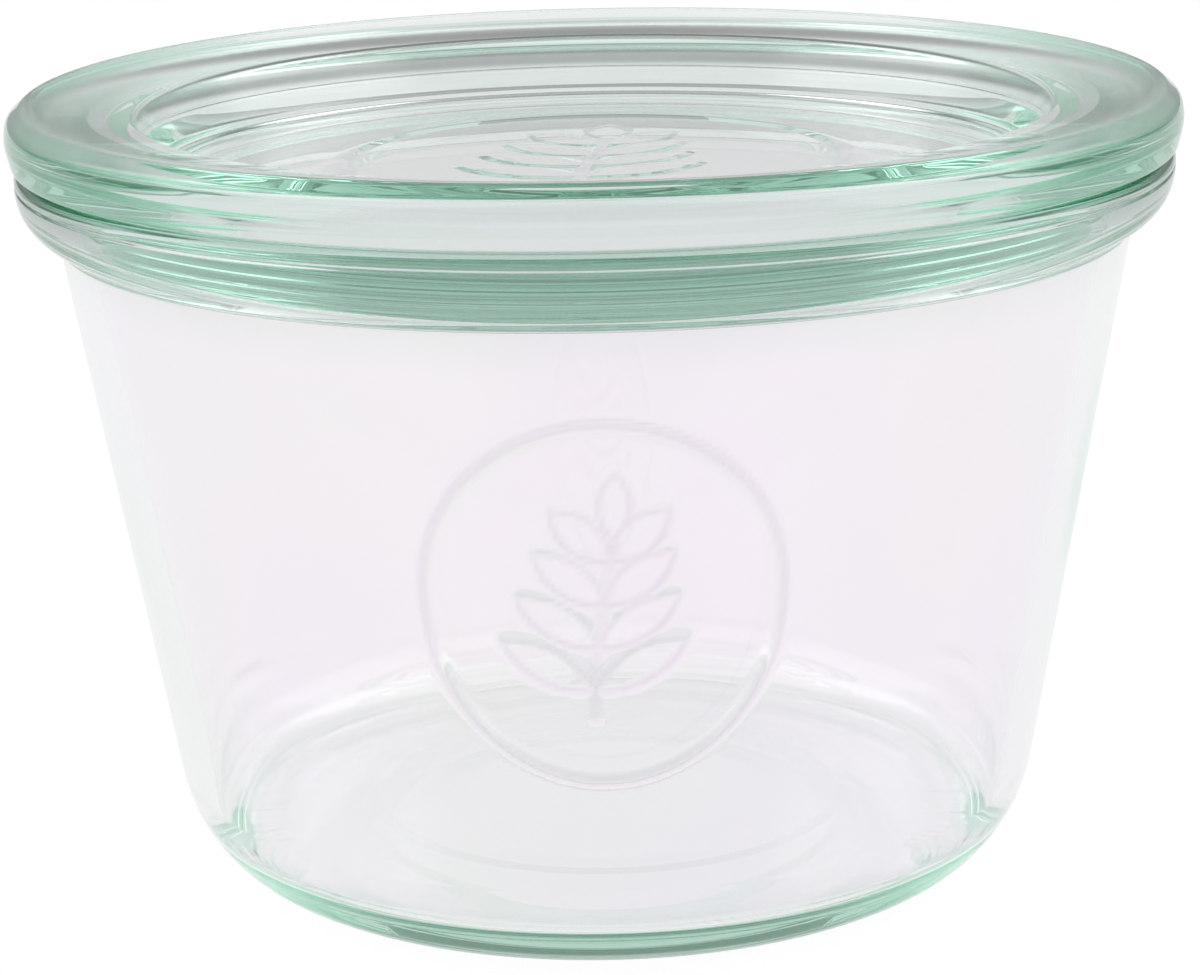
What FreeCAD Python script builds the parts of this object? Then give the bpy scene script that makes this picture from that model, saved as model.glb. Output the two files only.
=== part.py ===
"""Squat tapered canning jar of clear glass, closed by its loose dished glass lid.

Both pieces are turned shapes about the Z axis. Each one is drawn as a half
section in the XZ plane and swept once round. Units are millimetres. Z = 0 is
the table, +Z runs up through the mouth.
"""
import FreeCAD
import Part

import os
import math

# --- jar: overall sizes -----------------------------------------------------
JAR_HEIGHT = 68.0            # table to the flat top of the rim
FLANGE_RADIUS = 53.9         # outer radius of the rim flange
WALL_THICKNESS = 2.6         # glass of the tapered wall, measured level
WALL_DRAFT = 9.52            # lean of the wall off upright, degrees

# --- jar: rim flange --------------------------------------------------------
RIM_WIDTH = 6.9              # flange edge to bore, across the rim top
FLANGE_OVERHANG = 3.75       # flange edge out from the wall under it
FLANGE_BAND_HEIGHT = 4.4     # rim top to the foot of the upright band
FLANGE_HEIGHT = 6.9          # rim top to where the flange meets the wall
RIM_EDGE_RADIUS = 1.6        # rounding of the flange at the rim top
MOUTH_EDGE_RADIUS = 0.8      # rounding of the bore at the rim top
SHOULDER_RADIUS = 3.8        # rounding under the flange band
NECK_FILLET = 1.4            # hollow fillet where flange and wall meet
BORE_BLEND = 6.0             # soft bend where the bore runs into the wall

# --- jar: base --------------------------------------------------------------
CORNER_RADIUS = 13.8         # upper, larger arc of the outside base corner
CORNER_SPLIT_ANGLE = 42.3    # lean at which the corner tightens, degrees
HEEL_RADIUS = 6.4            # lower, tighter arc that runs on to the table
FOOT_RING_WIDTH = 2.6        # flat ring the jar stands on
FOOT_RING_EDGE = 1.0         # rounding of the inner edge of that ring
HOLLOW_SLOPE_WIDTH = 15.0    # long slope from the ring up into the hollow
HOLLOW_DEPTH = 0.4           # very shallow hollow under the floor
HOLLOW_BLEND = 80.0          # long bend from that slope into the level hollow
INNER_CORNER_RADIUS = 5.5    # inside fillet between wall and floor
FLOOR_EDGE_HEIGHT = 3.7      # inside floor at its edge, above the table
FLOOR_DISH_RISE = 0.4        # gentle rise of the floor towards its slope
FLOOR_SLOPE_RISE = 0.3       # rise of the slope up to the level middle
FLOOR_SLOPE_WIDTH = 5.4      # width of that slope
FLOOR_LEVEL_INSET = 7.2      # level middle of the floor in from the foot ring
FLOOR_DISH_BLEND = 40.0      # bend at the foot of the slope
FLOOR_SLOPE_BLEND = 20.0     # bend at the top of the slope

# --- lid --------------------------------------------------------------------
LID_HEIGHT = 5.65            # rim top to the crest of the lid
LID_OVERHANG = 0.75          # widest part of the lid out past the flange
LID_EDGE_TAPER = 0.6         # draw-in of the lid edge at its foot
LID_BELLY_HEIGHT = 2.7       # rim top to the widest part of the lid
LID_BELLY_BLEND = 4.0        # soft belly at that widest part
LID_CREST_TAPER = 0.3        # draw-in of the lid edge at its crest
LID_CREST_RADIUS = 2.4       # rounding over the crest
LID_CREST_WIDTH = 2.6        # level top of the crest, edge corner to inner end
LID_CREST_BLEND = 0.8        # bend from the crest into the sloping ring
LID_FOOT_RADIUS = 0.8        # rounding at the foot of the lid edge
DISH_INSET = 11.95           # dish edge in from the widest part of the lid
DISH_EDGE_DROP = 1.65        # dish edge below the crest
DISH_EDGE_RADIUS = 0.9       # rounding over the dish edge
DISH_WALL_RUN = 2.5          # level run of the steep dish wall
PLATE_DROP = 7.05            # top of the centre plate below the crest
PLATE_BLEND = 1.8            # fillet from the dish wall into the plate
PLATE_THICKNESS = 4.1        # glass of the centre plate
SPIGOT_CLEARANCE = 1.5       # gap all round between lid spigot and bore
SPIGOT_EDGE_RADIUS = 1.2     # rounding at the foot of the spigot
SEAT_FILLET = 0.5            # fillet between lid seat and spigot

# --- sizes that follow ------------------------------------------------------
DRAFT = math.radians(WALL_DRAFT)
SPLIT = math.radians(CORNER_SPLIT_ANGLE)
NECK_HEIGHT = JAR_HEIGHT - FLANGE_HEIGHT
MOUTH_RADIUS = FLANGE_RADIUS - RIM_WIDTH
LID_RADIUS = FLANGE_RADIUS + LID_OVERHANG
LID_CREST_HEIGHT = JAR_HEIGHT + LID_HEIGHT
PLATE_TOP = LID_CREST_HEIGHT - PLATE_DROP
SPIGOT_RADIUS = MOUTH_RADIUS - SPIGOT_CLEARANCE

AXIS_POINT = FreeCAD.Vector(0, 0, 0)
AXIS_UP = FreeCAD.Vector(0, 0, 1)
SAME_POINT = 1e-6


def outer_wall_radius(height):
    """Outside radius of the tapered wall at a height."""
    return FLANGE_RADIUS - FLANGE_OVERHANG - math.tan(DRAFT) * (NECK_HEIGHT - height)


def inner_wall_radius(height):
    """Inside radius of the tapered wall at a height."""
    return outer_wall_radius(height) - WALL_THICKNESS


def fillet_points(before, corner, after, radius):
    """Start, middle and end of the arc that rounds one corner of an outline."""
    u = before.sub(corner)
    v = after.sub(corner)
    u.normalize()
    v.normalize()
    half = math.acos(u.dot(v)) / 2.0
    reach = radius / math.tan(half)
    bisector = u.add(v)
    bisector.normalize()
    centre = corner.add(bisector.multiply(radius / math.sin(half)))
    start = corner.add(FreeCAD.Vector(u).multiply(reach))
    end = corner.add(FreeCAD.Vector(v).multiply(reach))
    to_corner = corner.sub(centre)
    to_corner.normalize()
    middle = centre.add(to_corner.multiply(radius))
    return start, middle, end


def turned_solid(outline):
    """Sweep a closed half section round Z.

    The outline is a list of (radius, height, rounding). A rounding of 0 keeps
    the corner sharp.
    """
    corners = [FreeCAD.Vector(r, 0, z) for r, z, _ in outline]
    pieces = []
    for i, corner in enumerate(corners):
        rounding = outline[i][2]
        if rounding:
            before = corners[i - 1]
            after = corners[(i + 1) % len(corners)]
            start, middle, end = fillet_points(before, corner, after, rounding)
            pieces.append((start, Part.Arc(start, middle, end).toShape(), end))
        else:
            pieces.append((corner, None, corner))
    edges = []
    for i, (start, arc, end) in enumerate(pieces):
        if arc is not None:
            edges.append(arc)
        following = pieces[(i + 1) % len(pieces)][0]
        if end.distanceToPoint(following) > SAME_POINT:
            edges.append(Part.makeLine(end, following))
    face = Part.Face(Part.Wire(Part.__sortEdges__(edges)))
    return face.revolve(AXIS_POINT, AXIS_UP, 360)


def base_corner():
    """Outside base corner as two tangent arcs, heel first.

    Returns the radius where the heel touches the table, then the corner of
    the heel's end tangents and the corner of the upper arc's end tangents.
    """
    heel_top = HEEL_RADIUS * (1.0 - math.sin(SPLIT))
    wall_foot = heel_top + CORNER_RADIUS * (math.sin(SPLIT) - math.sin(DRAFT))
    split_radius = (outer_wall_radius(wall_foot)
                    - CORNER_RADIUS * (math.cos(DRAFT) - math.cos(SPLIT)))
    foot_radius = split_radius - HEEL_RADIUS * math.cos(SPLIT)
    heel_corner = split_radius - heel_top * math.tan(SPLIT)
    upper_reach = CORNER_RADIUS * math.tan((SPLIT - DRAFT) / 2.0)
    upper_corner = (split_radius + upper_reach * math.sin(SPLIT),
                    heel_top + upper_reach * math.cos(SPLIT))
    return foot_radius, heel_corner, upper_corner


def make_jar():
    foot_radius, heel_corner, upper_corner = base_corner()
    ring_inner = foot_radius - FOOT_RING_WIDTH
    hollow_radius = ring_inner - HOLLOW_SLOPE_WIDTH
    floor_level_radius = ring_inner - FLOOR_LEVEL_INSET
    slope_foot_radius = floor_level_radius + FLOOR_SLOPE_WIDTH
    slope_foot = FLOOR_EDGE_HEIGHT + FLOOR_DISH_RISE
    floor_height = slope_foot + FLOOR_SLOPE_RISE
    band_foot = JAR_HEIGHT - FLANGE_BAND_HEIGHT
    outline = [
        (0.0, HOLLOW_DEPTH, 0),
        (hollow_radius, HOLLOW_DEPTH, HOLLOW_BLEND),
        (ring_inner, 0.0, FOOT_RING_EDGE),
        (heel_corner, 0.0, HEEL_RADIUS),
        (upper_corner[0], upper_corner[1], CORNER_RADIUS),
        (outer_wall_radius(NECK_HEIGHT), NECK_HEIGHT, NECK_FILLET),
        (FLANGE_RADIUS, band_foot, SHOULDER_RADIUS),
        (FLANGE_RADIUS, JAR_HEIGHT, RIM_EDGE_RADIUS),
        (MOUTH_RADIUS, JAR_HEIGHT, MOUTH_EDGE_RADIUS),
        (inner_wall_radius(NECK_HEIGHT), NECK_HEIGHT, BORE_BLEND),
        (inner_wall_radius(FLOOR_EDGE_HEIGHT), FLOOR_EDGE_HEIGHT, INNER_CORNER_RADIUS),
        (slope_foot_radius, slope_foot, FLOOR_DISH_BLEND),
        (floor_level_radius, floor_height, FLOOR_SLOPE_BLEND),
        (0.0, floor_height, 0),
    ]
    return turned_solid(outline)


def make_lid():
    crest_edge = LID_RADIUS - LID_CREST_TAPER
    dish_radius = LID_RADIUS - DISH_INSET
    plate_foot = PLATE_TOP - PLATE_THICKNESS
    outline = [
        (0.0, PLATE_TOP, 0),
        (0.0, plate_foot, 0),
        (SPIGOT_RADIUS, plate_foot, SPIGOT_EDGE_RADIUS),
        (SPIGOT_RADIUS, JAR_HEIGHT, SEAT_FILLET),
        (LID_RADIUS - LID_EDGE_TAPER, JAR_HEIGHT, LID_FOOT_RADIUS),
        (LID_RADIUS, JAR_HEIGHT + LID_BELLY_HEIGHT, LID_BELLY_BLEND),
        (crest_edge, LID_CREST_HEIGHT, LID_CREST_RADIUS),
        (crest_edge - LID_CREST_WIDTH, LID_CREST_HEIGHT, LID_CREST_BLEND),
        (dish_radius, LID_CREST_HEIGHT - DISH_EDGE_DROP, DISH_EDGE_RADIUS),
        (dish_radius - DISH_WALL_RUN, PLATE_TOP, PLATE_BLEND),
    ]
    return turned_solid(outline)


jar = make_jar()
lid = make_lid()

os.makedirs("parts", exist_ok=True)
jar.exportStep("parts/jar.step")
lid.exportStep("parts/lid.step")
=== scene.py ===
"""Looks of the canning jar: clear green-tinted glass body and its loose dished lid.

Both pieces are turned from the named sizes of the part's source, in
millimetres, and become metres as their meshes are made. Badges, ribs, waves
and a painted shade along the badge lines and at the gap under the lid are
worked out point by point on the way.
"""

import bpy
import math
from mathutils import Matrix, Vector, noise


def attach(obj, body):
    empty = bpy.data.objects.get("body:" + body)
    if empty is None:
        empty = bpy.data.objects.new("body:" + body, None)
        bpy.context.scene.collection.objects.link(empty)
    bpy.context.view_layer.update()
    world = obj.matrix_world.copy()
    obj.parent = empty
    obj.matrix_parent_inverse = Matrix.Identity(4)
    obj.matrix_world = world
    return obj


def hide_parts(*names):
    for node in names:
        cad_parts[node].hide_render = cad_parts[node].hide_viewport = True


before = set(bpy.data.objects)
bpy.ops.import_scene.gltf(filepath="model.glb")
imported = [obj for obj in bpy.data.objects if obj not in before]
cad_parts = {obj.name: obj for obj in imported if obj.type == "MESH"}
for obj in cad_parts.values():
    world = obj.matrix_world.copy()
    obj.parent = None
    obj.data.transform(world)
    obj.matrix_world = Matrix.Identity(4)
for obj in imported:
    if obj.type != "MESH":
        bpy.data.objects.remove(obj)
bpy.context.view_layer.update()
MM = 0.001

# --- jar: overall sizes -----------------------------------------------------
JAR_HEIGHT = 68.0            # table to the flat top of the rim
FLANGE_RADIUS = 53.9         # outer radius of the rim flange
WALL_THICKNESS = 2.6         # glass of the tapered wall, measured level
WALL_DRAFT = 9.52            # lean of the wall off upright, degrees

# --- jar: rim flange --------------------------------------------------------
RIM_WIDTH = 6.9              # flange edge to bore, across the rim top
FLANGE_OVERHANG = 3.75       # flange edge out from the wall under it
FLANGE_BAND_HEIGHT = 4.4     # rim top to the foot of the upright band
FLANGE_HEIGHT = 6.9          # rim top to where the flange meets the wall
RIM_EDGE_RADIUS = 1.0        # rounding of the flange at the rim top; 1.6 in the solid
MOUTH_EDGE_RADIUS = 0.8      # rounding of the bore at the rim top
SHOULDER_RADIUS = 5.0        # rounding under the flange band; 3.8 in the solid
NECK_FILLET = 0.8            # hollow fillet where flange and wall meet; 1.4 in the solid
BORE_BLEND = 6.0             # soft bend where the bore runs into the wall

# --- jar: base --------------------------------------------------------------
CORNER_RADIUS = 13.8         # upper, larger arc of the outside base corner
CORNER_SPLIT_ANGLE = 42.3    # lean at which the corner tightens, degrees
HEEL_RADIUS = 6.4            # lower, tighter arc that runs on to the table
FOOT_RING_WIDTH = 2.6        # flat ring the jar stands on
FOOT_RING_EDGE = 1.0         # rounding of the inner edge of that ring
HOLLOW_SLOPE_WIDTH = 15.0    # long slope from the ring up into the hollow
HOLLOW_DEPTH = 0.4           # very shallow hollow under the floor
HOLLOW_BLEND = 80.0          # long bend from that slope into the level hollow
INNER_CORNER_RADIUS = 2.6    # inside fillet between wall and floor; 5.5 in the solid
FLOOR_EDGE_HEIGHT = 3.7      # inside floor at its edge, above the table
FLOOR_DISH_RISE = 0.4        # gentle rise of the floor towards its slope
FLOOR_SLOPE_RISE = 0.3       # rise of the slope up to the level middle
FLOOR_SLOPE_WIDTH = 5.4      # width of that slope
FLOOR_LEVEL_INSET = 7.2      # level middle of the floor in from the foot ring
FLOOR_DISH_BLEND = 40.0      # bend at the foot of the slope

# --- lid --------------------------------------------------------------------
LID_HEIGHT = 5.65            # rim top to the crest of the lid
LID_OVERHANG = 0.75          # widest part of the lid out past the flange
LID_EDGE_TAPER = 0.6         # draw-in of the lid edge at its foot
LID_BELLY_HEIGHT = 2.7       # rim top to the widest part of the lid
LID_BELLY_BLEND = 4.0        # soft belly at that widest part
LID_CREST_TAPER = 0.3        # draw-in of the lid edge at its crest
LID_CREST_WIDTH = 2.6        # level top of the crest, edge corner to inner end
LID_CREST_BLEND = 0.8        # bend from the crest into the sloping ring
LID_FOOT_RADIUS = 0.8        # rounding at the foot of the lid edge
DISH_INSET = 11.95           # dish edge in from the widest part of the lid
DISH_EDGE_DROP = 1.65        # dish edge below the crest
DISH_EDGE_RADIUS = 0.9       # rounding over the dish edge
DISH_WALL_RUN = 2.5          # level run of the steep dish wall
PLATE_DROP = 7.05            # top of the centre plate below the crest
PLATE_BLEND = 1.8            # fillet from the dish wall into the plate
PLATE_THICKNESS = 4.1        # glass of the centre plate
SPIGOT_CLEARANCE = 1.5       # gap all round between lid spigot and bore
SPIGOT_EDGE_RADIUS = 1.2     # rounding at the foot of the spigot
SEAT_FILLET = 0.5            # fillet between lid seat and spigot

# --- sizes that follow ------------------------------------------------------
DRAFT = math.radians(WALL_DRAFT)
SPLIT = math.radians(CORNER_SPLIT_ANGLE)
NECK_HEIGHT = JAR_HEIGHT - FLANGE_HEIGHT
MOUTH_RADIUS = FLANGE_RADIUS - RIM_WIDTH
LID_RADIUS = FLANGE_RADIUS + LID_OVERHANG
LID_CREST_HEIGHT = JAR_HEIGHT + LID_HEIGHT
PLATE_TOP = LID_CREST_HEIGHT - PLATE_DROP
SPIGOT_RADIUS = MOUTH_RADIUS - SPIGOT_CLEARANCE

# --- shape that only the looks have ------------------------------------------
CREST_BEVEL_DROP = 1.25      # soft bevel in the rounding of the lid's crest
CREST_BEVEL_RUN = 1.5
CREST_BEVEL_FOOT = 1.6       # rounding below that bevel
CREST_BEVEL_TOP = 1.2        # rounding above it
RIM_AIR = 0.05               # sliver of air between rim and lid seat
SEAM_HEIGHT = 66.6           # mould seam round the flange, a shallow groove
SEAM_HALF_WIDTH = 0.25
SEAM_DEPTH = 0.15
SEAM_BLEND = 0.2
FLOOR_STEP = 0.14            # faint ring pressed into the floor
FLOOR_STEP_RUN = 1.4
FLOOR_STEP_BLEND = 4.0

# --- badges: an oval one on the wall, a round one on the lid plate -----------
BADGE_TURN = -math.pi / 2    # the wall badge faces the front
BADGE_HEIGHT = 36.6          # its middle, above the table
BADGE_HALF_WIDTH = 15.4      # its middle to its border
BADGE_HALF_HEIGHT = 16.4
BADGE_RELIEF = 0.35          # how far it stands out
BADGE_ZONE = 3.0             # relief is worked out this far past its border
PLATE_BADGE_RADIUS = 23.4
PLATE_BADGE_RELIEF = 0.08    # how far the plate badge stands up
BADGE_MARGIN = 2.0           # a badge is level glass this far past its border
BORDER_HALF_WIDTH = 0.15     # raised border line of both badges
RELIEF_EDGE = 0.6            # run over which relief falls to the glass round it

# --- sprig in the badges, as shares of its size unless noted ------------------
SPRIG_SIZE = 0.92            # its size as a share of the badge's half height
SPRIG_REACH = 0.85           # share of the badge's radius that the sprig may fill
SPRIG_SHARE = 0.8            # its height as a share of the border's
STEM_BOW = 0.06              # sideways bow of the stem
STEM_BEND = 2.6              # bend of that bow over one size, radians
STEM_FOOT = -0.72
STEM_TOP = 0.42
STEM_HALF_WIDTH = 0.02
STEM_SHADE_SHARE = 0.6              # painted shade on the stem as a share of that on a leaf outline
TIP_LEAF_BEND = 1.1          # bend of the stem under the top leaf, radians
TIP_LEAF_TILT = 0.05         # radians off upright
TIP_LEAF_LENGTH = 0.38
TIP_LEAF_HALF_WIDTH = 0.085
LEAF_PAIRS = 4
LEAF_FOOT = -0.5             # where the lowest pair leaves the stem
LEAF_SPACING = 0.26
LEAF_TILT = 1.05             # the lowest pair off upright, radians
LEAF_TILT_LESS = 0.08        # taken off with each next pair
LEAF_LENGTH = 0.6            # the lowest pair
LEAF_LENGTH_LESS = 0.055     # taken off with each next pair
LEAF_HALF_WIDTH = 0.1
LEAF_FULLNESS = 0.8          # power of the sine across a leaf: under 1 is fuller

# --- stippled foot: short radial ribs, uneven round the jar -------------------
FOOT_RIBS = 156
FOOT_RIB_DEPTH = 0.05        # hollows between the ribs
FOOT_RIB_INNER = 30.9        # the ribs run from this radius
FOOT_RIB_OUTER = 35.6        # to this one
FOOT_RIB_END = 0.6           # and fade over this run at both ends
FOOT_ZONE_TOP = 1.5          # height under which the outside counts as foot
RIB_PATCHES = 9.0            # fineness of the unevenness round the jar
RIB_PATCH_LENGTH = 2.5       # and its length along a rib
RIB_MEAN = 0.35
RIB_SWING = 2.2
RIB_MOST = 1.2
RIB_SIDE_POWER = 0.7         # how fast the ribs fade from the sides to front and back

# --- faint waves of the blown inner wall --------------------------------------
WALL_WAVE = 0.05
WAVE_TURNS = 2.2             # fineness of the waves round the jar
WAVE_LENGTH = 22.0           # and their length up the wall
WAVE_SWING = 2.0
WAVE_FOOT = 9.0              # the waves run from this height
WAVE_TOP = 58.0              # to this one
WAVE_FADE = 8.0              # and fade over this run at both ends

# --- painted shade: a mesh colour attribute that multiplies the glass tint ----
PAINTED_SHADE = "painted_shade"
CLEAR = (1.0, 1.0, 1.0)
PAINTED_RELIEF_SHADE = (0.84, 0.82, 0.86)  # painted shade along the badge lines, where the relief's edges would darken
PAINTED_GAP_SHADE = (0.08, 0.46, 0.28)     # painted dark green shade on the two lips that meet at the gap, where light runs a long way through the glass
GAP_SHADE_FRONT = 0.5              # depth of that painted shade at the front and back of the jar
JAR_GAP_SHADE_START = 5.5          # the painted shade on the jar's lip starts this far out from the bore
JAR_GAP_SHADE_RUN = 0.6
JAR_GAP_SHADE_DROP = 0.9           # and this far under the rim top
JAR_GAP_SHADE_FADE = 0.4
LID_GAP_SHADE_START = 6.0          # the painted shade on the lid's lip starts this far out from the bore
LID_GAP_SHADE_RUN = 0.5
LID_GAP_SHADE_RISE = 0.65          # and ends this far above the rim top
LID_GAP_SHADE_FADE = 0.3

# --- fineness of the meshes ---------------------------------------------------
SAME_POINT = 1e-6
SLACK = 0.01                 # heights this close count as one
ARC_STEP_JAR = 7.5           # degrees
ARC_STEP_LID = 6.0
LEAST_CUTS = 3               # pieces of the smallest arc
MOST_CUTS = 24               # pieces of a wide arc that follows the fine steps
WIDE_ROUNDING = 1.7          # roundings over this follow the steps of their place
LONG_RUN = 0.5               # straight runs over this get a point near each end
END_STEP = 0.12              # this far from it
SHORTEST_STEP = 0.1
JAR_STEP = 3.6
BADGE_STEP = 0.44
BADGE_STEP_ZONE = 1.0        # fine steps go this far past a badge's border
RIB_STEP = 0.6
RIB_STEP_ZONE = 0.5
LID_STEP = 2.0
PLATE_BADGE_STEP = 0.45
PLATE_BADGE_STEP_ZONE = 1.2
SIDES = 312                  # columns of the jar's mesh
BADGE_COLUMN = 0.42          # width of a column across the wall badge
BADGE_COLUMN_ZONE = 1.5      # fine columns go this far past its border
LID_SIDES = 384


def outer_wall_radius(height):
    """Outside radius of the tapered wall at a height."""
    return FLANGE_RADIUS - FLANGE_OVERHANG - math.tan(DRAFT) * (NECK_HEIGHT - height)


def inner_wall_radius(height):
    """Inside radius of the tapered wall at a height."""
    return outer_wall_radius(height) - WALL_THICKNESS


def straight_run(start, target, step_at):
    """Points from just after a start up to a target, in steps that step_at gives.

    A long run gets a point close to each end, so that smooth shading stays
    flat along it.
    """
    gap = (target - start).length
    if gap < SAME_POINT:
        return []
    stops = {END_STEP / gap, 1 - END_STEP / gap} if gap > LONG_RUN else set()
    travelled = 0.0
    while travelled < gap - SAME_POINT:
        here = start.lerp(target, travelled / gap)
        travelled += step_at(here.x, here.y)
        stops.add(min(1.0, travelled / gap))
    kept = [stop for stop in sorted(stops) if stop == 1.0 or (1.0 - stop) * gap >= SHORTEST_STEP]
    return [start.lerp(target, stop) for stop in kept]


def rounded(outline, arc_step, step_at):
    """Points along an open outline of (radius, height, rounding).

    Arcs are cut every arc_step degrees. step_at(radius, height) gives the
    longest straight step wanted near a point.
    """
    corners = [Vector((r, z)) for r, z, _ in outline]
    out = [corners[0]]
    for i in range(1, len(corners) - 1):
        corner = corners[i]
        rounding = outline[i][2]
        u = (corners[i - 1] - corner).normalized()
        v = (corners[i + 1] - corner).normalized()
        half = math.acos(max(-1.0, min(1.0, u.dot(v)))) / 2
        reach = rounding / math.tan(half)
        centre = corner + (u + v).normalized() * (rounding / math.sin(half))
        start = corner + u * reach
        end = corner + v * reach
        out += straight_run(out[-1], start, step_at)
        first = math.atan2(start.y - centre.y, start.x - centre.x)
        last = math.atan2(end.y - centre.y, end.x - centre.x)
        sweep = (last - first + math.pi) % (2 * math.pi) - math.pi
        cuts = max(LEAST_CUTS, math.ceil(abs(math.degrees(sweep)) / arc_step))
        if rounding > WIDE_ROUNDING:
            fine_cuts = math.ceil(rounding * abs(sweep) / step_at(corner.x, corner.y))
            cuts = max(cuts, min(MOST_CUTS, fine_cuts))
        for k in range(1, cuts + 1):
            a = first + sweep * k / cuts
            out.append(centre + Vector((math.cos(a), math.sin(a))) * rounding)
    out += straight_run(out[-1], corners[-1], step_at)
    return [(p.x, p.y) for p in out]


def base_corner():
    """Outside base corner as two tangent arcs, heel first.

    Returns the radius where the heel touches the table, then the corner of
    the heel's end tangents and the corner of the upper arc's end tangents.
    """
    heel_top = HEEL_RADIUS * (1.0 - math.sin(SPLIT))
    wall_foot = heel_top + CORNER_RADIUS * (math.sin(SPLIT) - math.sin(DRAFT))
    split_radius = (outer_wall_radius(wall_foot)
                    - CORNER_RADIUS * (math.cos(DRAFT) - math.cos(SPLIT)))
    foot_radius = split_radius - HEEL_RADIUS * math.cos(SPLIT)
    heel_corner = split_radius - heel_top * math.tan(SPLIT)
    upper_reach = CORNER_RADIUS * math.tan((SPLIT - DRAFT) / 2.0)
    upper_corner = (split_radius + upper_reach * math.sin(SPLIT),
                    heel_top + upper_reach * math.cos(SPLIT))
    return foot_radius, heel_corner, upper_corner


def jar_outline():
    """Half section of the jar, from the hollow under it round to its floor."""
    foot_radius, heel_corner, upper_corner = base_corner()
    ring_inner = foot_radius - FOOT_RING_WIDTH
    hollow_radius = ring_inner - HOLLOW_SLOPE_WIDTH
    floor_level_radius = ring_inner - FLOOR_LEVEL_INSET
    slope_foot_radius = floor_level_radius + FLOOR_SLOPE_WIDTH
    slope_foot = FLOOR_EDGE_HEIGHT + FLOOR_DISH_RISE
    floor_height = slope_foot + FLOOR_SLOPE_RISE
    band_foot = JAR_HEIGHT - FLANGE_BAND_HEIGHT
    top = JAR_HEIGHT - RIM_AIR
    return [
        (0.0, HOLLOW_DEPTH, 0),
        (hollow_radius, HOLLOW_DEPTH, HOLLOW_BLEND),
        (ring_inner, 0.0, FOOT_RING_EDGE),
        (heel_corner, 0.0, HEEL_RADIUS),
        (upper_corner[0], upper_corner[1], CORNER_RADIUS),
        (outer_wall_radius(NECK_HEIGHT), NECK_HEIGHT, NECK_FILLET),
        (FLANGE_RADIUS, band_foot, SHOULDER_RADIUS),
        (FLANGE_RADIUS, SEAM_HEIGHT - SEAM_HALF_WIDTH, SEAM_BLEND),
        (FLANGE_RADIUS - SEAM_DEPTH, SEAM_HEIGHT, SEAM_BLEND),
        (FLANGE_RADIUS, SEAM_HEIGHT + SEAM_HALF_WIDTH, SEAM_BLEND),
        (FLANGE_RADIUS, top, RIM_EDGE_RADIUS),
        (MOUTH_RADIUS, top, MOUTH_EDGE_RADIUS),
        (inner_wall_radius(NECK_HEIGHT), NECK_HEIGHT, BORE_BLEND),
        (inner_wall_radius(FLOOR_EDGE_HEIGHT), FLOOR_EDGE_HEIGHT, INNER_CORNER_RADIUS),
        (slope_foot_radius, slope_foot, FLOOR_DISH_BLEND),
        (floor_level_radius, floor_height, FLOOR_STEP_BLEND),
        (floor_level_radius - FLOOR_STEP_RUN, floor_height + FLOOR_STEP, FLOOR_STEP_BLEND),
        (0.0, floor_height + FLOOR_STEP, 0),
    ]


def lid_outline():
    """Half section of the lid, from under its plate round to the plate's top."""
    crest_edge = LID_RADIUS - LID_CREST_TAPER
    dish_radius = LID_RADIUS - DISH_INSET
    plate_foot = PLATE_TOP - PLATE_THICKNESS
    return [
        (0.0, plate_foot, 0),
        (SPIGOT_RADIUS, plate_foot, SPIGOT_EDGE_RADIUS),
        (SPIGOT_RADIUS, JAR_HEIGHT, SEAT_FILLET),
        (LID_RADIUS - LID_EDGE_TAPER, JAR_HEIGHT, LID_FOOT_RADIUS),
        (LID_RADIUS, JAR_HEIGHT + LID_BELLY_HEIGHT, LID_BELLY_BLEND),
        (crest_edge, LID_CREST_HEIGHT - CREST_BEVEL_DROP, CREST_BEVEL_FOOT),
        (crest_edge - CREST_BEVEL_RUN, LID_CREST_HEIGHT, CREST_BEVEL_TOP),
        (crest_edge - LID_CREST_WIDTH, LID_CREST_HEIGHT, 0.5 * LID_CREST_BLEND),
        (dish_radius, LID_CREST_HEIGHT - DISH_EDGE_DROP, DISH_EDGE_RADIUS),
        (dish_radius - DISH_WALL_RUN, PLATE_TOP, PLATE_BLEND),
        (0.0, PLATE_TOP, 0),
    ]


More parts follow.
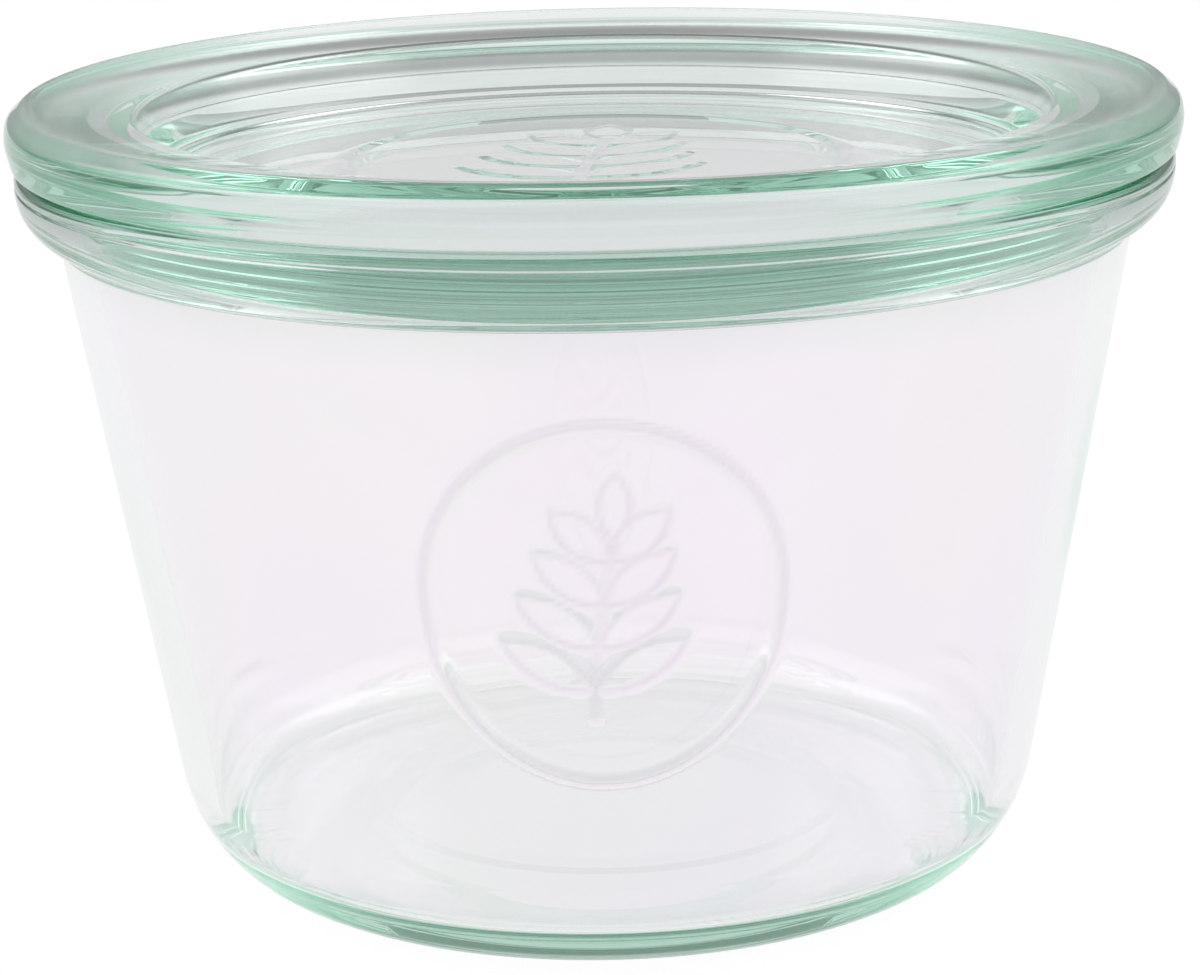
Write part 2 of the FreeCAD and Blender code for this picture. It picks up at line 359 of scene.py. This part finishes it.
def lathe(name, profile, angles, shape, hollow):
    """Turn a profile that starts and ends on the axis.

    shape(r, z, angle, inside) may move a point, and gives its painted shade. In a
    hollow piece the points after the profile's highest one are inside.
    """
    summit = max(range(len(profile)), key=lambda i: profile[i][1])
    columns = len(angles)
    rings = profile[1:-1]
    verts = [(0, 0, profile[0][1])]
    painted_shades = [*CLEAR, 1.0]
    for i, (r, z) in enumerate(rings):
        for angle in angles:
            new_r, new_z, painted_shade = shape(r, z, angle, hollow and i + 1 > summit)
            verts.append((new_r * math.cos(angle), new_r * math.sin(angle), new_z))
            painted_shades.extend((*painted_shade, 1.0))
    verts.append((0, 0, profile[-1][1]))
    painted_shades.extend((*CLEAR, 1.0))
    last = len(verts) - 1
    last_ring = last - columns
    faces = []
    for k in range(columns):
        k2 = (k + 1) % columns
        faces.append((0, 1 + k2, 1 + k))
        for i in range(len(rings) - 1):
            ring = 1 + i * columns
            following = ring + columns
            faces.append((ring + k, ring + k2, following + k2, following + k))
        faces.append((last, last_ring + k, last_ring + k2))
    mesh = bpy.data.meshes.new(name)
    mesh.from_pydata([(x * MM, y * MM, z * MM) for x, y, z in verts], [], faces)
    mesh.polygons.foreach_set("use_smooth", [True] * len(mesh.polygons))
    # the mesh carries the painted shade as a colour attribute
    painted_shade_data = mesh.attributes.new(PAINTED_SHADE, "FLOAT_COLOR", "POINT").data
    painted_shade_data.foreach_set("color", painted_shades)
    mesh.update()
    piece = bpy.data.objects.new(name, mesh)
    bpy.context.scene.collection.objects.link(piece)
    return piece


# ---------------------------------------------------------------- relief
def ease(t):
    """Smooth step from 0 to 1."""
    t = max(0.0, min(1.0, t))
    return t * t * (3 - 2 * t)


def raised(distance, half_width):
    """1 on a raised line or patch, falling to 0 over its edge."""
    return 1 - ease((distance - half_width) / RELIEF_EDGE)


def leaf(u, v, at, tilt, length, half_width):
    """Distance outside an almond-shaped leaf that starts at a point and points up its tilt."""
    du = u - at[0]
    dv = v - at[1]
    along = du * math.sin(tilt) + dv * math.cos(tilt)
    across = abs(du * math.cos(tilt) - dv * math.sin(tilt))
    share = along / length
    if share <= 0 or share >= 1:
        return math.hypot(across, min(abs(along), abs(along - length)))
    return across - half_width * math.sin(math.pi * share) ** LEAF_FULLNESS


def stem_side(v, size):
    """Sideways place of the bowed stem at a height."""
    return STEM_BOW * size * math.sin(v / size * STEM_BEND)


def sprig(u, v, size):
    """Height and painted shade along the outlines, 0 to 1 each, of a leafy sprig about 2 * size
    tall.
    """
    stem = 0.0
    if STEM_FOOT * size < v < STEM_TOP * size:
        stem = raised(abs(u - stem_side(v, size)), STEM_HALF_WIDTH * size)
    tip = (STEM_BOW * size * math.sin(TIP_LEAF_BEND), STEM_TOP * size)
    nearest = leaf(u, v, tip, TIP_LEAF_TILT, TIP_LEAF_LENGTH * size, TIP_LEAF_HALF_WIDTH * size)
    for k in range(LEAF_PAIRS):
        level = (LEAF_FOOT + LEAF_SPACING * k) * size
        at = (stem_side(level, size), level)
        for side in (-1, 1):
            tilt = side * (LEAF_TILT - LEAF_TILT_LESS * k)
            length = (LEAF_LENGTH - LEAF_LENGTH_LESS * k) * size
            nearest = min(nearest, leaf(u, v, at, tilt, length, LEAF_HALF_WIDTH * size))
    # painted shade along the leaf outlines
    outline = raised(abs(nearest), 0.0)
    return SPRIG_SHARE * max(stem, raised(nearest, 0.0)), max(STEM_SHADE_SHARE * stem, outline)


def badge(u, v, half_width, half_height):
    """Height and painted shade along the lines, 0 to 1 each, of a badge: a border line with the
    sprig inside.
    """
    out = math.hypot(u / half_width, v / half_height)
    mean = (half_width + half_height) / 2
    if out > 1 + BADGE_MARGIN / mean:
        return 0.0, 0.0
    border = raised(abs(out - 1) * mean, BORDER_HALF_WIDTH)
    if out > SPRIG_REACH:
        return border, border
    return sprig(u, v, SPRIG_SIZE * half_height)


def shade_colour(tint, share):
    """White moved a share of the way to a painted shade colour."""
    return tuple(1 + (level - 1) * share for level in tint)


def gap_shade_depth(angle):
    """How deep the painted gap shade is: full at the sides of the jar, less at its front and
    back.
    """
    return GAP_SHADE_FRONT + (1 - GAP_SHADE_FRONT) * math.cos(angle) ** 2


def wave(z, angle):
    """Slow unevenness of the blown wall, -1 to 1."""
    spot = Vector((math.cos(angle) * WAVE_TURNS, math.sin(angle) * WAVE_TURNS, z / WAVE_LENGTH))
    return max(-1.0, min(1.0, WAVE_SWING * noise.noise(spot)))


def rib_strength(r, angle):
    """How deep the foot's ribs are: uneven, and stronger at the sides of the jar."""
    spot = Vector((math.cos(angle) * RIB_PATCHES, math.sin(angle) * RIB_PATCHES,
                   r / RIB_PATCH_LENGTH))
    uneven = max(0.0, min(RIB_MOST, RIB_MEAN + RIB_SWING * noise.noise(spot)))
    return uneven * abs(math.cos(angle)) ** RIB_SIDE_POWER


def jar_relief(r, z, angle, inside):
    """Waves inside; outside the wall badge with painted shade along its lines, the ribs of the
    foot and the painted shade on the lip by the gap.
    """
    if inside:
        fade = ease((z - WAVE_FOOT) / WAVE_FADE) * ease((WAVE_TOP - z) / WAVE_FADE)
        return r + WALL_WAVE * fade * wave(z, angle), z, CLEAR
    if abs(z - BADGE_HEIGHT) < BADGE_HALF_HEIGHT + BADGE_ZONE:
        turn = (angle - BADGE_TURN + math.pi) % (2 * math.pi) - math.pi
        across = turn * outer_wall_radius(BADGE_HEIGHT)
        level, edge_shade = badge(across, z - BADGE_HEIGHT, BADGE_HALF_WIDTH, BADGE_HALF_HEIGHT)
        # painted shade along the wall badge's lines
        return r + BADGE_RELIEF * level, z, shade_colour(PAINTED_RELIEF_SHADE, edge_shade)
    if FOOT_RIB_INNER < r < FOOT_RIB_OUTER and z < FOOT_ZONE_TOP:
        rib = 0.5 - 0.5 * math.cos(FOOT_RIBS * angle)
        ends = (ease((r - FOOT_RIB_INNER) / FOOT_RIB_END)
                * ease((FOOT_RIB_OUTER - r) / FOOT_RIB_END))
        return r, z + FOOT_RIB_DEPTH * rib * rib_strength(r, angle) * ends, CLEAR
    # painted dark green shade on the jar's lip by the gap
    gap_shade = (ease((r - MOUTH_RADIUS - JAR_GAP_SHADE_START) / JAR_GAP_SHADE_RUN)
           * ease((z - JAR_HEIGHT + JAR_GAP_SHADE_DROP) / JAR_GAP_SHADE_FADE))
    return r, z, shade_colour(PAINTED_GAP_SHADE, gap_shade * gap_shade_depth(angle))


def lid_relief(r, z, angle, inside):
    """Round badge on top of the centre plate with painted shade along its lines, and the painted
    shade on the lip by the gap.
    """
    if r < PLATE_BADGE_RADIUS + BADGE_MARGIN and z > PLATE_TOP - SLACK:
        u = r * math.cos(angle)
        v = r * math.sin(angle)
        level, edge_shade = badge(u, v, PLATE_BADGE_RADIUS, PLATE_BADGE_RADIUS)
        # painted shade along the plate badge's lines
        return r, z + PLATE_BADGE_RELIEF * level, shade_colour(PAINTED_RELIEF_SHADE, edge_shade)
    # painted dark green shade on the lid's lip by the gap
    gap_shade = (ease((r - MOUTH_RADIUS - LID_GAP_SHADE_START) / LID_GAP_SHADE_RUN)
           * ease((JAR_HEIGHT + LID_GAP_SHADE_RISE - z) / LID_GAP_SHADE_FADE))
    return r, z, shade_colour(PAINTED_GAP_SHADE, gap_shade * gap_shade_depth(angle))


# ---------------------------------------------------------------- mesh steps
def jar_step(r, z):
    """Straight steps of the jar's mesh: fine under the badge and along the ribs."""
    if FOOT_RIB_INNER - RIB_STEP_ZONE < r < FOOT_RIB_OUTER + RIB_STEP_ZONE and z < FOOT_ZONE_TOP:
        return RIB_STEP
    if r > outer_wall_radius(z) - 0.5 * WALL_THICKNESS and z > CORNER_RADIUS:
        off_badge = abs(z - BADGE_HEIGHT) - BADGE_HALF_HEIGHT - BADGE_STEP_ZONE
        if z < BADGE_HEIGHT or off_badge < 0:
            return max(BADGE_STEP, min(JAR_STEP, off_badge))
    return JAR_STEP


def lid_step(r, z):
    """Straight steps of the lid's mesh: fine over the plate badge."""
    if r < PLATE_BADGE_RADIUS + PLATE_BADGE_STEP_ZONE and z > PLATE_TOP - 0.5 * PLATE_THICKNESS:
        return PLATE_BADGE_STEP
    return LID_STEP


def jar_columns():
    """Angles of the jar's columns: even all round, finer across the wall badge."""
    even = 2 * math.pi / SIDES
    half = (BADGE_HALF_WIDTH + BADGE_COLUMN_ZONE) / outer_wall_radius(BADGE_HEIGHT)
    half = math.ceil(half / even) * even
    fine = math.ceil(2 * half * outer_wall_radius(BADGE_HEIGHT) / BADGE_COLUMN)
    columns = [BADGE_TURN - half + 2 * half * k / fine for k in range(fine)]
    rest = SIDES - round(2 * half / even)
    columns += [BADGE_TURN + half + even * k for k in range(rest)]
    return columns


def lid_columns():
    """Angles of the lid's columns, even all round."""
    return [2 * math.pi * k / LID_SIDES for k in range(LID_SIDES)]


# ---------------------------------------------------------------- glass
ABSORPTION = (0.01, 0.62, 0.37)   # colour that thick glass turns to
ABSORPTION_DENSITY = 9.0
GLASS_IOR = 1.52
SEAT_FROST = 0.25            # roughness of the lid's ground seat
SEAT_BAND = 0.02             # heights this close to the rim top are seat
RAMP_HEIGHT = 100.0          # a tint ramp runs from the table to this height
PATCH_SCALE = 22.0           # slow patches between the two tints of a ramp
PATCH_DETAIL = 2.0
PATCH_LOW = 0.38
PATCH_HIGH = 0.62
# rows of a tint ramp: height, tint, tint of the patches
JAR_TINTS = ((4.8, (1.0, 1.0, 1.0), (0.99, 0.99, 0.99)),
             (6.0, (0.995, 0.965, 0.98), (1.0, 0.95, 1.0)),
             (57.0, (0.995, 0.965, 0.98), (1.0, 0.95, 1.0)),
             (61.0, (0.92, 0.92, 0.925), (0.91, 0.915, 0.92)))
LID_TINTS = ((66.8, (0.965, 0.96, 0.965), (0.96, 0.955, 0.96)),
             (68.4, (0.945, 0.94, 0.945), (0.94, 0.935, 0.94)),
             (74.0, (0.96, 0.955, 0.96), (0.955, 0.95, 0.955)))


def tint_ramp(nt, height, tints, which):
    """Base colour by height above the table, from one column of a tint table."""
    ramp = nt.nodes.new("ShaderNodeValToRGB")
    marks = ramp.color_ramp.elements
    while len(marks) < len(tints):
        marks.new(0.5)
    for mark, row in zip(marks, tints):
        mark.position = row[0] / RAMP_HEIGHT
        mark.color = (*row[which], 1)
    nt.links.new(height, ramp.inputs["Fac"])
    return ramp.outputs["Color"]


def patches(nt, coord):
    """Slow cloudy patches, 0 to 1."""
    cloud = nt.nodes.new("ShaderNodeTexNoise")
    cloud.inputs["Scale"].default_value = PATCH_SCALE
    cloud.inputs["Detail"].default_value = PATCH_DETAIL
    nt.links.new(coord, cloud.inputs["Vector"])
    share = nt.nodes.new("ShaderNodeMapRange")
    share.inputs["From Min"].default_value = PATCH_LOW
    share.inputs["From Max"].default_value = PATCH_HIGH
    nt.links.new(cloud.outputs["Fac"], share.inputs["Value"])
    return share.outputs[0]


def glass_tint(nt, coord, z, tints):
    """Tint by height with its patches, multiplied by the painted shade that the mesh carries."""
    height = nt.nodes.new("ShaderNodeMath")
    height.operation = "MULTIPLY"
    height.inputs[1].default_value = 1 / (RAMP_HEIGHT * MM)
    nt.links.new(z, height.inputs[0])
    tint = nt.nodes.new("ShaderNodeMix")
    tint.data_type = "RGBA"
    nt.links.new(patches(nt, coord), tint.inputs["Factor"])
    nt.links.new(tint_ramp(nt, height.outputs[0], tints, 1), tint.inputs["A"])
    nt.links.new(tint_ramp(nt, height.outputs[0], tints, 2), tint.inputs["B"])
    # painted shade from the mesh attribute darkens the tint
    painted_shade = nt.nodes.new("ShaderNodeAttribute")
    painted_shade.attribute_name = PAINTED_SHADE
    shaded_tint = nt.nodes.new("ShaderNodeMix")
    shaded_tint.data_type = "RGBA"
    shaded_tint.blend_type = "MULTIPLY"
    shaded_tint.inputs["Factor"].default_value = 1.0
    nt.links.new(tint.outputs["Result"], shaded_tint.inputs["A"])
    nt.links.new(painted_shade.outputs["Color"], shaded_tint.inputs["B"])
    return shaded_tint.outputs["Result"]


def ground_seat(nt, z, frost):
    """Roughness that is frost on the level seat over the rim top and 0 elsewhere."""
    seat = nt.nodes.new("ShaderNodeMath")
    seat.operation = "COMPARE"
    seat.inputs[1].default_value = JAR_HEIGHT * MM
    seat.inputs[2].default_value = SEAT_BAND * MM
    nt.links.new(z, seat.inputs[0])
    ground = nt.nodes.new("ShaderNodeMath")
    ground.operation = "MULTIPLY"
    ground.inputs[1].default_value = frost
    nt.links.new(seat.outputs[0], ground.inputs[0])
    return ground.outputs[0]


def glass_material(name, tints, frost):
    """Clear glass with a green body colour, a faint uneven surface tint, painted shade from the
    mesh and a ground seat.
    """
    mat = bpy.data.materials.new(name)
    mat.use_nodes = True
    nt = mat.node_tree
    nt.nodes.clear()
    out = nt.nodes.new("ShaderNodeOutputMaterial")
    glass = nt.nodes.new("ShaderNodeBsdfPrincipled")
    glass.inputs["Transmission Weight"].default_value = 1.0
    glass.inputs["IOR"].default_value = GLASS_IOR
    glass.inputs["Roughness"].default_value = 0.0
    body = nt.nodes.new("ShaderNodeVolumeAbsorption")
    body.inputs["Color"].default_value = (*ABSORPTION, 1.0)
    body.inputs["Density"].default_value = ABSORPTION_DENSITY
    coord = nt.nodes.new("ShaderNodeTexCoord").outputs["Object"]
    place = nt.nodes.new("ShaderNodeSeparateXYZ")
    nt.links.new(coord, place.inputs[0])
    z = place.outputs["Z"]
    nt.links.new(glass_tint(nt, coord, z, tints), glass.inputs["Base Color"])
    if frost:
        nt.links.new(ground_seat(nt, z, frost), glass.inputs["Roughness"])
    nt.links.new(glass.outputs["BSDF"], out.inputs["Surface"])
    nt.links.new(body.outputs["Volume"], out.inputs["Volume"])
    return mat


def make_jar():
    """Glass body of the jar."""
    profile = rounded(jar_outline(), ARC_STEP_JAR, jar_step)
    piece = lathe("jar_glass_body", profile, jar_columns(), jar_relief, True)
    piece.data.materials.append(glass_material("jar_glass_clear", JAR_TINTS, 0.0))
    return piece


def make_lid():
    """Dished glass lid."""
    profile = rounded(lid_outline(), ARC_STEP_LID, lid_step)
    piece = lathe("lid_glass_dish", profile, lid_columns(), lid_relief, False)
    piece.data.materials.append(glass_material("lid_glass_clear", LID_TINTS, SEAT_FROST))
    return piece


for piece, node, slot in ((make_jar(), "jar", "jar_glass"), (make_lid(), "lid", "lid_glass")):
    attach(piece, "root")
    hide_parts(node)

# ---------------------------------------------------------------- studio
FLOOR_SEEN = 1.035           # glow of the floor to the camera
FLOOR_THROUGH_GLASS = 0.96   # and by way of the glass
FLOOR_COLOUR = (0.8, 0.8, 0.8, 1)
FLOOR_GLOW_SHARE = 0.93      # the rest is plain floor, which takes the shadow
FLOOR_HALF_WIDTH = 3.0       # metres
FLOOR_DROP = 0.0002          # metres from the foot down to the floor

LIGHT_SCALE = 3.0            # brightest patch of the studio; the ramps are shares of it
# brightness by the sine of a direction's height, behind, beside and in front of the jar
BEHIND_LIGHT = ((0.0, 0.45), (0.07, 0.45), (0.15, 0.6), (0.3, 0.84),
                (0.46, 0.86), (0.56, 0.22), (0.78, 0.2), (0.9, 0.37))
SIDE_LIGHT = ((0.0, 0.95), (0.08, 0.95), (0.15, 0.85), (0.22, 0.95),
              (0.34, 2.15), (0.5, 2.5), (0.72, 2.7), (0.84, 0.4))
AHEAD_LIGHT = ((0.0, 0.95), (0.07, 0.95), (0.13, 0.5), (0.22, 0.5),
               (0.32, 1.6), (0.46, 1.6), (0.56, 1.2), (0.85, 0.38))
TURN_START = 0.35            # the side light gives way to the others between these two
TURN_FULL = 0.65             # shares of a level direction that point behind or ahead
SEEN_WHITE = 1.0             # the room as the camera sees it


def floor_material():
    """Pale floor that glows a little to the camera and through glass."""
    mat = bpy.data.materials.new("pale_floor")
    mat.use_nodes = True
    nt = mat.node_tree
    nt.nodes.clear()
    out = nt.nodes.new("ShaderNodeOutputMaterial")
    diffuse = nt.nodes.new("ShaderNodeBsdfDiffuse")
    diffuse.inputs["Color"].default_value = FLOOR_COLOUR
    glow = nt.nodes.new("ShaderNodeEmission")
    path = nt.nodes.new("ShaderNodeLightPath")
    power = nt.nodes.new("ShaderNodeMapRange")
    power.inputs["To Min"].default_value = FLOOR_THROUGH_GLASS
    power.inputs["To Max"].default_value = FLOOR_SEEN
    nt.links.new(path.outputs["Is Camera Ray"], power.inputs["Value"])
    nt.links.new(power.outputs[0], glow.inputs["Strength"])
    looked_at = path.outputs["Is Camera Ray"]
    for other in ("Is Glossy Ray", "Is Transmission Ray"):
        either = nt.nodes.new("ShaderNodeMath")
        either.operation = "MAXIMUM"
        nt.links.new(looked_at, either.inputs[0])
        nt.links.new(path.outputs[other], either.inputs[1])
        looked_at = either.outputs[0]
    share = nt.nodes.new("ShaderNodeMath")
    share.operation = "MULTIPLY"
    share.inputs[1].default_value = FLOOR_GLOW_SHARE
    nt.links.new(looked_at, share.inputs[0])
    mix = nt.nodes.new("ShaderNodeMixShader")
    nt.links.new(share.outputs[0], mix.inputs["Fac"])
    nt.links.new(diffuse.outputs[0], mix.inputs[1])
    nt.links.new(glow.outputs[0], mix.inputs[2])
    nt.links.new(mix.outputs[0], out.inputs["Surface"])
    return mat


def make_floor():
    """Square floor a hair under the foot of the jar."""
    mesh = bpy.data.meshes.new("floor")
    w = FLOOR_HALF_WIDTH
    mesh.from_pydata([(-w, -w, 0), (w, -w, 0), (w, w, 0), (-w, w, 0)], [], [(0, 1, 2, 3)])
    mesh.materials.append(floor_material())
    floor = bpy.data.objects.new("floor", mesh)
    floor.location.z = -FLOOR_DROP
    bpy.context.scene.collection.objects.link(floor)
    return floor


def elevation_ramp(nt, height, stops):
    """Brightness of the studio by height of the direction, as a share of LIGHT_SCALE."""
    ramp = nt.nodes.new("ShaderNodeValToRGB")
    marks = ramp.color_ramp.elements
    while len(marks) < len(stops):
        marks.new(0.5)
    for mark, (sine, level) in zip(marks, stops):
        mark.position = sine
        mark.color = (level / LIGHT_SCALE, level / LIGHT_SCALE, level / LIGHT_SCALE, 1)
    nt.links.new(height, ramp.inputs["Fac"])
    return ramp.outputs["Color"]


def ahead_or_behind(nt, direction):
    """Y of a direction once it is made level: 1 straight behind the jar, -1 straight ahead."""
    level_dir = nt.nodes.new("ShaderNodeCombineXYZ")
    nt.links.new(direction.outputs["X"], level_dir.inputs["X"])
    nt.links.new(direction.outputs["Y"], level_dir.inputs["Y"])
    unit = nt.nodes.new("ShaderNodeVectorMath")
    unit.operation = "NORMALIZE"
    nt.links.new(level_dir.outputs[0], unit.inputs[0])
    facing = nt.nodes.new("ShaderNodeSeparateXYZ")
    nt.links.new(unit.outputs["Vector"], facing.inputs[0])
    return facing.outputs["Y"]


def studio_world():
    """Even pale room with large soft lights left, right and in front; white to the camera."""
    world = bpy.data.worlds.new("studio")
    world.use_nodes = True
    nt = world.node_tree
    nt.nodes.clear()
    out = nt.nodes.new("ShaderNodeOutputWorld")
    back = nt.nodes.new("ShaderNodeBackground")
    back.inputs["Strength"].default_value = LIGHT_SCALE
    coord = nt.nodes.new("ShaderNodeTexCoord")
    direction = nt.nodes.new("ShaderNodeSeparateXYZ")
    nt.links.new(coord.outputs["Generated"], direction.inputs[0])
    facing = ahead_or_behind(nt, direction)
    room = elevation_ramp(nt, direction.outputs["Z"], SIDE_LIGHT)
    for stops, sign in ((BEHIND_LIGHT, 1), (AHEAD_LIGHT, -1)):
        turn = nt.nodes.new("ShaderNodeMapRange")
        turn.interpolation_type = "SMOOTHSTEP"
        turn.inputs["From Min"].default_value = sign * TURN_START
        turn.inputs["From Max"].default_value = sign * TURN_FULL
        nt.links.new(facing, turn.inputs["Value"])
        mix = nt.nodes.new("ShaderNodeMix")
        mix.data_type = "RGBA"
        nt.links.new(turn.outputs[0], mix.inputs["Factor"])
        nt.links.new(room, mix.inputs["A"])
        nt.links.new(elevation_ramp(nt, direction.outputs["Z"], stops), mix.inputs["B"])
        room = mix.outputs["Result"]
    path = nt.nodes.new("ShaderNodeLightPath")
    seen = nt.nodes.new("ShaderNodeMix")
    seen.data_type = "RGBA"
    nt.links.new(path.outputs["Is Camera Ray"], seen.inputs["Factor"])
    nt.links.new(room, seen.inputs["A"])
    white = SEEN_WHITE / LIGHT_SCALE
    seen.inputs["B"].default_value = (white, white, white, 1)
    nt.links.new(seen.outputs["Result"], back.inputs["Color"])
    nt.links.new(back.outputs[0], out.inputs["Surface"])
    bpy.context.scene.world = world


make_floor()
studio_world()

# ---------------------------------------------------------------- camera
CAMERA_PLACE = (-0.00013, -0.320, 0.1222)  # metres
PITCH = 0.268                # down from level, radians
ROLL = -0.021                # round the line of sight, radians
SENSOR_WIDTH = 36.0
LENS = 103.245
NEAREST = 0.01               # metres


def add_camera():
    """Camera in front of the jar, a little above it and tipped down."""
    ahead = Vector((0, math.cos(PITCH), -math.sin(PITCH)))
    level_right = Vector((1, 0, 0))
    level_up = level_right.cross(ahead)
    right = level_right * math.cos(ROLL) + level_up * math.sin(ROLL)
    up = level_up * math.cos(ROLL) - level_right * math.sin(ROLL)
    pose = Matrix((right, up, -ahead)).transposed().to_4x4()
    pose.translation = Vector(CAMERA_PLACE)
    data = bpy.data.cameras.new("camera")
    data.sensor_width = SENSOR_WIDTH
    data.lens = LENS
    data.clip_start = NEAREST
    camera = bpy.data.objects.new("camera", data)
    camera.matrix_world = pose
    bpy.context.scene.collection.objects.link(camera)
    bpy.context.scene.camera = camera


add_camera()

# ---------------------------------------------------------------- light paths
BOUNCES = 128                # light crosses many layers of glass at a low slant
scene = bpy.context.scene
scene.view_settings.view_transform = "Standard"
scene.cycles.max_bounces = BOUNCES
scene.cycles.glossy_bounces = BOUNCES
scene.cycles.transmission_bounces = BOUNCES
